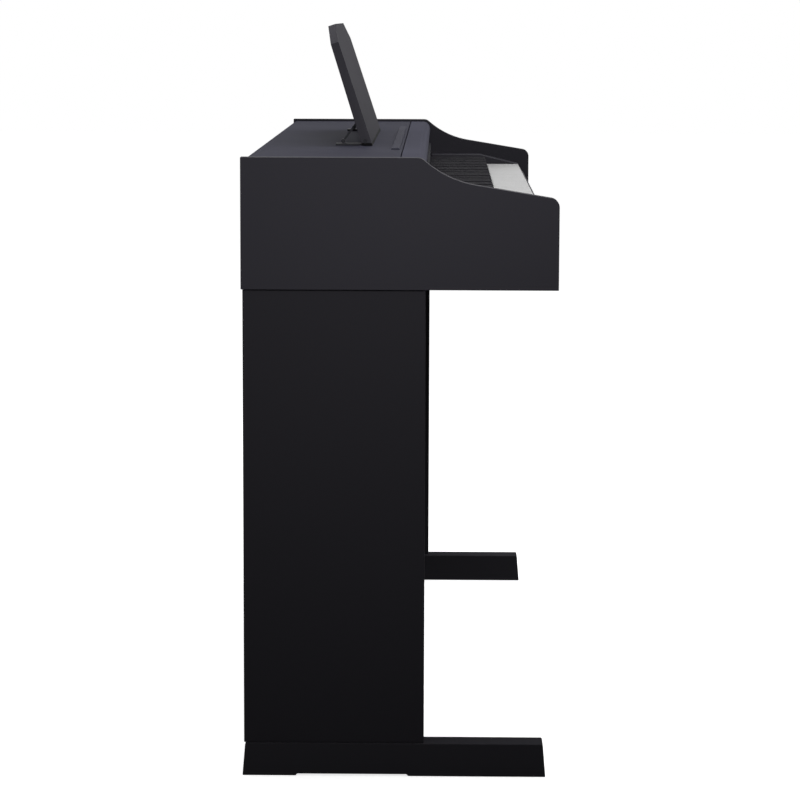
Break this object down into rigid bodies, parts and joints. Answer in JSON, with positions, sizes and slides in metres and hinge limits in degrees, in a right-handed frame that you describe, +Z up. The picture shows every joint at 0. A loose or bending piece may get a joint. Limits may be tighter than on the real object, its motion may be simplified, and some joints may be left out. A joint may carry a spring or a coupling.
{
  "type": "digital piano",
  "caption": "Cabinet digital piano with weighted keys, sliding key cover, folding music rest and a two-legged stand with pedals",
  "frame": {"origin": "on the floor, under the middle of the bounding box", "axes": "+X along the keyboard from the bass to the treble end, +Y to the back, the player sits on the -Y side, +Z up"},
  "size_m": [1.378, 0.41, 0.9798],
  "materials": {
    "case_lacquer": "dark satin lacquer over particle board",
    "top_lacquer": "dark satin lacquer over particle board, smoother on top",
    "panel_plastic": "fine-grained moulded plastic",
    "rest_plastic": "fine-grained moulded plastic",
    "gear_plastic": "self-lubricating moulded plastic",
    "key_white": "glossy moulded key plastic",
    "key_black": "matt moulded key plastic",
    "button_plastic": "moulded plastic",
    "pedal_brass": "polished and lacquered",
    "plated_steel": "zinc-plated sheet and rod",
    "hammer_steel": "dull steel",
    "speaker_steel": "black painted basket with a paper cone",
    "board_laminate": "glass-fibre laminate with soldered parts"
  },
  "bodies": {
    "cabinet": {"side_panel_left": "case_lacquer", "side_panel_right": "case_lacquer", "top_board": "top_lacquer", "back_board": "case_lacquer", "keybed": "case_lacquer", "key_slip": "case_lacquer", "control_panel": "panel_plastic", "cheek_blocks": "panel_plastic", "page_stop": "panel_plastic", "fasteners": "plated_steel", "rest_brackets": "plated_steel", "cover_racks": "gear_plastic", "leg_left": "case_lacquer", "leg_right": "case_lacquer", "foot_left": "case_lacquer", "foot_right": "case_lacquer", "stand_back_board": "case_lacquer", "pedal_board": "case_lacquer", "key_chassis": "plated_steel", "action_rods": "plated_steel", "circuit_boards": "board_laminate", "speakers": "speaker_steel", "jack_panel": "panel_plastic", "headphone_box": "panel_plastic"},
    "music_rest": {"music_rest": "rest_plastic"},
    "rest_stays": {"rest_stays": "plated_steel"},
    "key_cover": {"key_cover": "top_lacquer"},
    "cover_shaft": {"cover_shaft": "plated_steel"},
    "cover_shoes": {"cover_shoes": "gear_plastic"},
    "pedal_left": {"pedal_left": "pedal_brass"},
    "pedal_middle": {"pedal_middle": "pedal_brass"},
    "pedal_right": {"pedal_right": "pedal_brass"},
    "pedal_adjuster": {"pedal_adjuster": "rest_plastic"},
    "power_button": {"power_button": "button_plastic"},
    "function_button": {"function_button": "button_plastic"},
    "volume_slider": {"volume_slider": "panel_plastic"},
    "key_c": {"key_c": "key_white"},
    "hammer_c": {"hammer_c": "hammer_steel"},
    "key_cs": {"key_cs": "key_black"},
    "hammer_cs": {"hammer_cs": "hammer_steel"},
    "key_d": {"key_d": "key_white"},
    "hammer_d": {"hammer_d": "hammer_steel"},
    "key_ds": {"key_ds": "key_black"},
    "hammer_ds": {"hammer_ds": "hammer_steel"},
    "key_e": {"key_e": "key_white"},
    "hammer_e": {"hammer_e": "hammer_steel"},
    "key_f": {"key_f": "key_white"},
    "hammer_f": {"hammer_f": "hammer_steel"},
    "key_fs": {"key_fs": "key_black"},
    "hammer_fs": {"hammer_fs": "hammer_steel"},
    "key_g": {"key_g": "key_white"},
    "hammer_g": {"hammer_g": "hammer_steel"},
    "key_gs": {"key_gs": "key_black"},
    "hammer_gs": {"hammer_gs": "hammer_steel"},
    "key_a": {"key_a": "key_white"},
    "hammer_a": {"hammer_a": "hammer_steel"},
    "key_as": {"key_as": "key_black"},
    "hammer_as": {"hammer_as": "hammer_steel"},
    "key_b": {"key_b": "key_white"},
    "hammer_b": {"hammer_b": "hammer_steel"}
  },
  "joints": [
    {"name": "key_c_press", "type": "hinge", "parent": "cabinet", "child": "key_c", "pos_m": [0, 0.04, 0.727], "axis": [1, 0, 0], "range_deg": [0, 2.55], "stiffness_Nm_per_rad": 3, "springref_deg": -14.32},
    {"name": "key_cs_press", "type": "hinge", "parent": "cabinet", "child": "key_cs", "pos_m": [0, 0.04, 0.727], "axis": [1, 0, 0], "range_deg": [0, 2.55], "stiffness_Nm_per_rad": 3, "springref_deg": -14.32},
    {"name": "key_d_press", "type": "hinge", "parent": "cabinet", "child": "key_d", "pos_m": [0, 0.04, 0.727], "axis": [1, 0, 0], "range_deg": [0, 2.55], "stiffness_Nm_per_rad": 3, "springref_deg": -14.32},
    {"name": "key_ds_press", "type": "hinge", "parent": "cabinet", "child": "key_ds", "pos_m": [0, 0.04, 0.727], "axis": [1, 0, 0], "range_deg": [0, 2.55], "stiffness_Nm_per_rad": 3, "springref_deg": -14.32},
    {"name": "key_e_press", "type": "hinge", "parent": "cabinet", "child": "key_e", "pos_m": [0, 0.04, 0.727], "axis": [1, 0, 0], "range_deg": [0, 2.55], "stiffness_Nm_per_rad": 3, "springref_deg": -14.32},
    {"name": "key_f_press", "type": "hinge", "parent": "cabinet", "child": "key_f", "pos_m": [0, 0.04, 0.727], "axis": [1, 0, 0], "range_deg": [0, 2.55], "stiffness_Nm_per_rad": 3, "springref_deg": -14.32},
    {"name": "key_fs_press", "type": "hinge", "parent": "cabinet", "child": "key_fs", "pos_m": [0, 0.04, 0.727], "axis": [1, 0, 0], "range_deg": [0, 2.55], "stiffness_Nm_per_rad": 3, "springref_deg": -14.32},
    {"name": "key_g_press", "type": "hinge", "parent": "cabinet", "child": "key_g", "pos_m": [0, 0.04, 0.727], "axis": [1, 0, 0], "range_deg": [0, 2.55], "stiffness_Nm_per_rad": 3, "springref_deg": -14.32},
    {"name": "key_gs_press", "type": "hinge", "parent": "cabinet", "child": "key_gs", "pos_m": [0, 0.04, 0.727], "axis": [1, 0, 0], "range_deg": [0, 2.55], "stiffness_Nm_per_rad": 3, "springref_deg": -14.32},
    {"name": "key_a_press", "type": "hinge", "parent": "cabinet", "child": "key_a", "pos_m": [0, 0.04, 0.727], "axis": [1, 0, 0], "range_deg": [0, 2.55], "stiffness_Nm_per_rad": 3, "springref_deg": -14.32},
    {"name": "key_as_press", "type": "hinge", "parent": "cabinet", "child": "key_as", "pos_m": [0, 0.04, 0.727], "axis": [1, 0, 0], "range_deg": [0, 2.55], "stiffness_Nm_per_rad": 3, "springref_deg": -14.32},
    {"name": "key_b_press", "type": "hinge", "parent": "cabinet", "child": "key_b", "pos_m": [0, 0.04, 0.727], "axis": [1, 0, 0], "range_deg": [0, 2.55], "stiffness_Nm_per_rad": 3, "springref_deg": -14.32},
    {"name": "hammer_c_swing", "type": "hinge", "parent": "cabinet", "child": "hammer_c", "pos_m": [0, -0.08, 0.7], "axis": [1, 0, 0], "range_deg": [0, 10.3]},
    {"name": "hammer_cs_swing", "type": "hinge", "parent": "cabinet", "child": "hammer_cs", "pos_m": [0, -0.08, 0.7], "axis": [1, 0, 0], "range_deg": [0, 10.3]},
    {"name": "hammer_d_swing", "type": "hinge", "parent": "cabinet", "child": "hammer_d", "pos_m": [0, -0.08, 0.7], "axis": [1, 0, 0], "range_deg": [0, 10.3]},
    {"name": "hammer_ds_swing", "type": "hinge", "parent": "cabinet", "child": "hammer_ds", "pos_m": [0, -0.08, 0.7], "axis": [1, 0, 0], "range_deg": [0, 10.3]},
    {"name": "hammer_e_swing", "type": "hinge", "parent": "cabinet", "child": "hammer_e", "pos_m": [0, -0.08, 0.7], "axis": [1, 0, 0], "range_deg": [0, 10.3]},
    {"name": "hammer_f_swing", "type": "hinge", "parent": "cabinet", "child": "hammer_f", "pos_m": [0, -0.08, 0.7], "axis": [1, 0, 0], "range_deg": [0, 10.3]},
    {"name": "hammer_fs_swing", "type": "hinge", "parent": "cabinet", "child": "hammer_fs", "pos_m": [0, -0.08, 0.7], "axis": [1, 0, 0], "range_deg": [0, 10.3]},
    {"name": "hammer_g_swing", "type": "hinge", "parent": "cabinet", "child": "hammer_g", "pos_m": [0, -0.08, 0.7], "axis": [1, 0, 0], "range_deg": [0, 10.3]},
    {"name": "hammer_gs_swing", "type": "hinge", "parent": "cabinet", "child": "hammer_gs", "pos_m": [0, -0.08, 0.7], "axis": [1, 0, 0], "range_deg": [0, 10.3]},
    {"name": "hammer_a_swing", "type": "hinge", "parent": "cabinet", "child": "hammer_a", "pos_m": [0, -0.08, 0.7], "axis": [1, 0, 0], "range_deg": [0, 10.3]},
    {"name": "hammer_as_swing", "type": "hinge", "parent": "cabinet", "child": "hammer_as", "pos_m": [0, -0.08, 0.7], "axis": [1, 0, 0], "range_deg": [0, 10.3]},
    {"name": "hammer_b_swing", "type": "hinge", "parent": "cabinet", "child": "hammer_b", "pos_m": [0, -0.08, 0.7], "axis": [1, 0, 0], "range_deg": [0, 10.3]},
    {"name": "cover_slide", "type": "slide", "parent": "cabinet", "child": "cover_shoes", "axis": [0, -1, 0], "range_m": [0, 0.159]},
    {"name": "cover_pitch", "type": "hinge", "parent": "cover_shoes", "child": "key_cover", "pos_m": [0, 0.173, 0.786], "axis": [1, 0, 0], "range_deg": [0, 14.05]},
    {"name": "cover_spin", "type": "hinge", "parent": "cover_shoes", "child": "cover_shaft", "pos_m": [0, 0.173, 0.786], "axis": [1, 0, 0], "range_deg": [0, 1015]},
    {"name": "rest_fold", "type": "hinge", "parent": "cabinet", "child": "music_rest", "pos_m": [0, 0.05544, 0.815], "axis": [1, 0, 0], "range_deg": [-66, 0]},
    {"name": "stay_fold", "type": "hinge", "parent": "music_rest", "child": "rest_stays", "pos_m": [0, 0.06676, 0.8418], "axis": [1, 0, 0], "range_deg": [0, 118.5]},
    {"name": "pedal_left_press", "type": "hinge", "parent": "cabinet", "child": "pedal_left", "pos_m": [0, 0.13, 0.086], "axis": [1, 0, 0], "range_deg": [0, 6], "stiffness_Nm_per_rad": 3, "springref_deg": -11.46},
    {"name": "pedal_middle_press", "type": "hinge", "parent": "cabinet", "child": "pedal_middle", "pos_m": [0, 0.13, 0.086], "axis": [1, 0, 0], "range_deg": [0, 6], "stiffness_Nm_per_rad": 3, "springref_deg": -11.46},
    {"name": "pedal_right_press", "type": "hinge", "parent": "cabinet", "child": "pedal_right", "pos_m": [0, 0.13, 0.086], "axis": [1, 0, 0], "range_deg": [0, 6], "stiffness_Nm_per_rad": 3, "springref_deg": -11.46},
    {"name": "adjuster_turn", "type": "hinge", "parent": "cabinet", "child": "pedal_adjuster", "pos_m": [0, 0.095, 0.03], "axis": [0, 0, 1], "continuous": true},
    {"name": "power_push", "type": "slide", "parent": "cabinet", "child": "power_button", "axis": [0, 1, 0], "range_m": [0, 0.0012], "stiffness_N_per_m": 300, "springref_m": -0.002},
    {"name": "function_push", "type": "slide", "parent": "cabinet", "child": "function_button", "axis": [0, 1, 0], "range_m": [0, 0.0012], "stiffness_N_per_m": 300, "springref_m": -0.002},
    {"name": "volume_slide", "type": "slide", "parent": "cabinet", "child": "volume_slider", "axis": [1, 0, 0], "range_m": [-0.014, 0.014]}
  ],
  "couplings": [
    {"joint": "hammer_c_swing", "follows": "key_c_press", "ratio": 4},
    {"joint": "hammer_cs_swing", "follows": "key_cs_press", "ratio": 4},
    {"joint": "hammer_d_swing", "follows": "key_d_press", "ratio": 4},
    {"joint": "hammer_ds_swing", "follows": "key_ds_press", "ratio": 4},
    {"joint": "hammer_e_swing", "follows": "key_e_press", "ratio": 4},
    {"joint": "hammer_f_swing", "follows": "key_f_press", "ratio": 4},
    {"joint": "hammer_fs_swing", "follows": "key_fs_press", "ratio": 4},
    {"joint": "hammer_g_swing", "follows": "key_g_press", "ratio": 4},
    {"joint": "hammer_gs_swing", "follows": "key_gs_press", "ratio": 4},
    {"joint": "hammer_a_swing", "follows": "key_a_press", "ratio": 4},
    {"joint": "hammer_as_swing", "follows": "key_as_press", "ratio": 4},
    {"joint": "hammer_b_swing", "follows": "key_b_press", "ratio": 4},
    {"joint": "cover_pitch", "follows": "cover_slide", "rad_per_m": 1.5368},
    {"joint": "cover_spin", "follows": "cover_slide", "rad_per_m": 111.11},
    {"joint": "stay_fold", "follows": "rest_fold", "ratio": -1.79}
  ]
}
